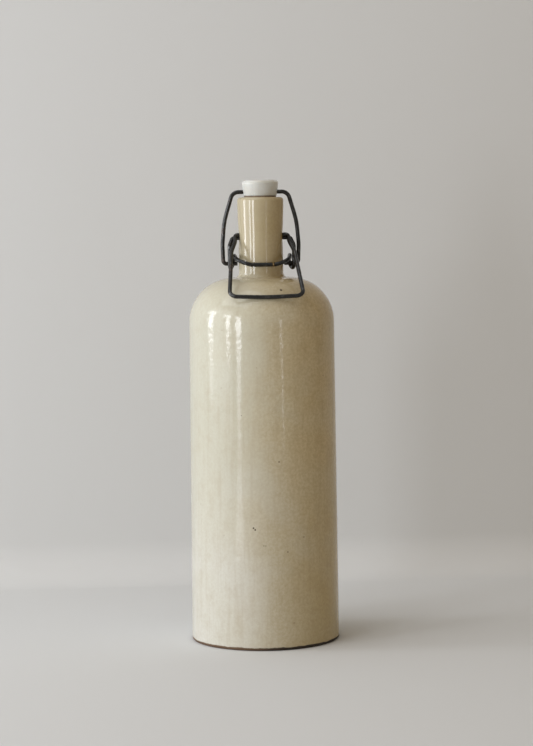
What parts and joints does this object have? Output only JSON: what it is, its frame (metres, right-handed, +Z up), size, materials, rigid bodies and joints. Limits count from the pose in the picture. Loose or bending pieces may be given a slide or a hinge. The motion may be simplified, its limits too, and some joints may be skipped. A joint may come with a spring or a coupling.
{
  "type": "swing top bottle",
  "caption": "Glazed stoneware bottle with a rounded shoulder and a wire lever closure that clamps a porcelain stopper on the mouth.",
  "frame": {"origin": "centre of the base, on the surface that the bottle stands on", "axes": "+Z up along the bottle's axis, -Y towards the lever's handle, X along the closure's pivots"},
  "size_m": [0.0936, 0.0936, 0.29],
  "materials": {
    "stoneware_glaze": "glossy cream glaze",
    "porcelain": "glossy white glaze",
    "gasket_rubber": "aged matte rubber",
    "iron_wire": "blackened, worn and lightly rusted",
    "braze": "dull, tarnished"
  },
  "bodies": {
    "bottle": {"bottle": "stoneware_glaze"},
    "lever": {"lever": "iron_wire", "lever_braze": "braze"},
    "yoke": {"yoke": "iron_wire"},
    "stopper": {"stopper": "porcelain", "gasket": "gasket_rubber"}
  },
  "joints": [
    {"name": "lever_swing", "type": "hinge", "parent": "bottle", "child": "lever", "pos_m": [0, 0, 0.2546], "axis": [-1, 0, 0], "range_deg": [0, 93]},
    {"name": "yoke_swing", "type": "hinge", "parent": "lever", "child": "yoke", "pos_m": [0, 0.0012, 0.2376], "axis": [-1, 0, 0], "range_deg": [-59.5, 0]},
    {"name": "stopper_tilt", "type": "hinge", "parent": "yoke", "child": "stopper", "pos_m": [0, 0, 0.2824], "axis": [-1, 0, 0], "range_deg": [-34.2, 0]}
  ],
  "couplings": [
    {"joint": "yoke_swing", "follows": "lever_swing", "ratio": -0.635},
    {"joint": "stopper_tilt", "follows": "lever_swing", "ratio": -0.365}
  ]
}
